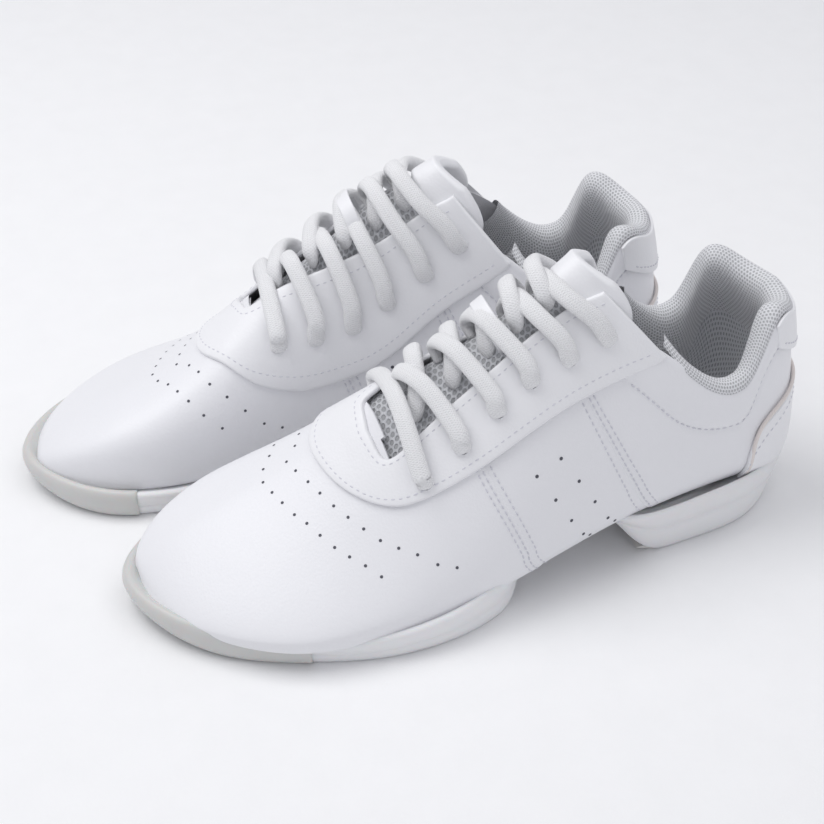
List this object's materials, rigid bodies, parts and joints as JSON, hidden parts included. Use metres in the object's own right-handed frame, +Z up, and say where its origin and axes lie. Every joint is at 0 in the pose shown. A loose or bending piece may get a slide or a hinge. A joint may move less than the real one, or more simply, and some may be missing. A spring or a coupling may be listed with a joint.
{
  "type": "cheer shoes",
  "caption": "Pair of low white leather cheer shoes with laces, perforated toe, mesh collar and a split sole that bends at the arch.",
  "frame": {"origin": "on the floor, midway between the two shoes and midway along the pair", "axes": "+Z up, toes towards -Y, the left shoe on the +X side"},
  "size_m": [0.2058, 0.3049, 0.127],
  "materials": {
    "leather": "smooth white synthetic leather",
    "overlay_leather": "smooth white leather, edge stitched",
    "lining": "white knitted mesh",
    "mesh": "white honeycomb mesh over foam",
    "lace": "soft white tubular knit",
    "sole_rubber": "white moulded rubber, satin",
    "bumper_rubber": "pale grey translucent rubber",
    "tread_rubber": "off-white tread rubber",
    "inlay": "beige moulded inlay",
    "piping": "beige-pink piping",
    "board": "fibre board",
    "sock_foam": "foam sockliner with fabric face"
  },
  "bodies": {
    "left_rear": {"left_lateral_saddle": "leather", "left_medial_saddle": "leather", "left_lateral_quarter": "leather", "left_medial_quarter": "leather", "left_eyestay": "overlay_leather", "left_heel_overlay": "overlay_leather", "left_heel_piping": "piping", "left_heel_tab": "overlay_leather", "left_heel_counter": "board", "left_collar_padding": "mesh", "left_collar_lining": "lining", "left_tongue_body": "mesh", "left_lace_keeper": "overlay_leather", "left_lace": "lace", "left_heel_sole": "sole_rubber", "left_heel_tread": "tread_rubber", "left_heel_inlay": "inlay", "left_arch_bridge": "leather", "left_heel_board": "board", "left_sockliner": "sock_foam"},
    "left_forefoot": {"left_vamp": "leather", "left_vamp_lining": "lining", "left_toe_puff": "board", "left_toe_bumper": "bumper_rubber", "left_forefoot_sole": "sole_rubber", "left_forefoot_tread": "tread_rubber", "left_forefoot_board": "board"},
    "left_tongue": {"left_tongue_top": "overlay_leather"},
    "right_rear": {"right_lateral_saddle": "leather", "right_medial_saddle": "leather", "right_lateral_quarter": "leather", "right_medial_quarter": "leather", "right_eyestay": "overlay_leather", "right_heel_overlay": "overlay_leather", "right_heel_piping": "piping", "right_heel_tab": "overlay_leather", "right_heel_counter": "board", "right_collar_padding": "mesh", "right_collar_lining": "lining", "right_tongue_body": "mesh", "right_lace_keeper": "overlay_leather", "right_lace": "lace", "right_heel_sole": "sole_rubber", "right_heel_tread": "tread_rubber", "right_heel_inlay": "inlay", "right_arch_bridge": "leather", "right_heel_board": "board", "right_sockliner": "sock_foam"},
    "right_forefoot": {"right_vamp": "leather", "right_vamp_lining": "lining", "right_toe_puff": "board", "right_toe_bumper": "bumper_rubber", "right_forefoot_sole": "sole_rubber", "right_forefoot_tread": "tread_rubber", "right_forefoot_board": "board"},
    "right_tongue": {"right_tongue_top": "overlay_leather"}
  },
  "joints": [
    {"name": "left_arch_flex", "type": "hinge", "parent": "left_rear", "child": "left_forefoot", "pos_m": [0.04389, 0.04036, 0.056], "axis": [0.9945, 0.1045, 0], "range_deg": [-8, 22], "deforming": ["left_lateral_saddle", "left_medial_saddle", "left_eyestay", "left_tongue_body", "left_lace", "left_sockliner", "left_arch_bridge", "left_lace_keeper"]},
    {"name": "left_tongue_fold", "type": "hinge", "parent": "left_rear", "child": "left_tongue", "pos_m": [0.04295, 0.04931, 0.112], "axis": [0.9945, 0.1045, 0], "range_deg": [-5, 35]},
    {"name": "right_arch_flex", "type": "hinge", "parent": "right_rear", "child": "right_forefoot", "pos_m": [-0.04389, 0.00936, 0.056], "axis": [0.9945, -0.1045, 0], "range_deg": [-8, 22], "deforming": ["right_lateral_saddle", "right_medial_saddle", "right_eyestay", "right_tongue_body", "right_lace", "right_sockliner", "right_arch_bridge", "right_lace_keeper"]},
    {"name": "right_tongue_fold", "type": "hinge", "parent": "right_rear", "child": "right_tongue", "pos_m": [-0.04295, 0.01831, 0.112], "axis": [0.9945, -0.1045, 0], "range_deg": [-5, 35]},
    {"name": "right_shoe_slide", "type": "slide", "parent": "left_rear", "child": "right_rear", "axis": [-1, 0, 0], "range_m": [0, 0.12]}
  ]
}
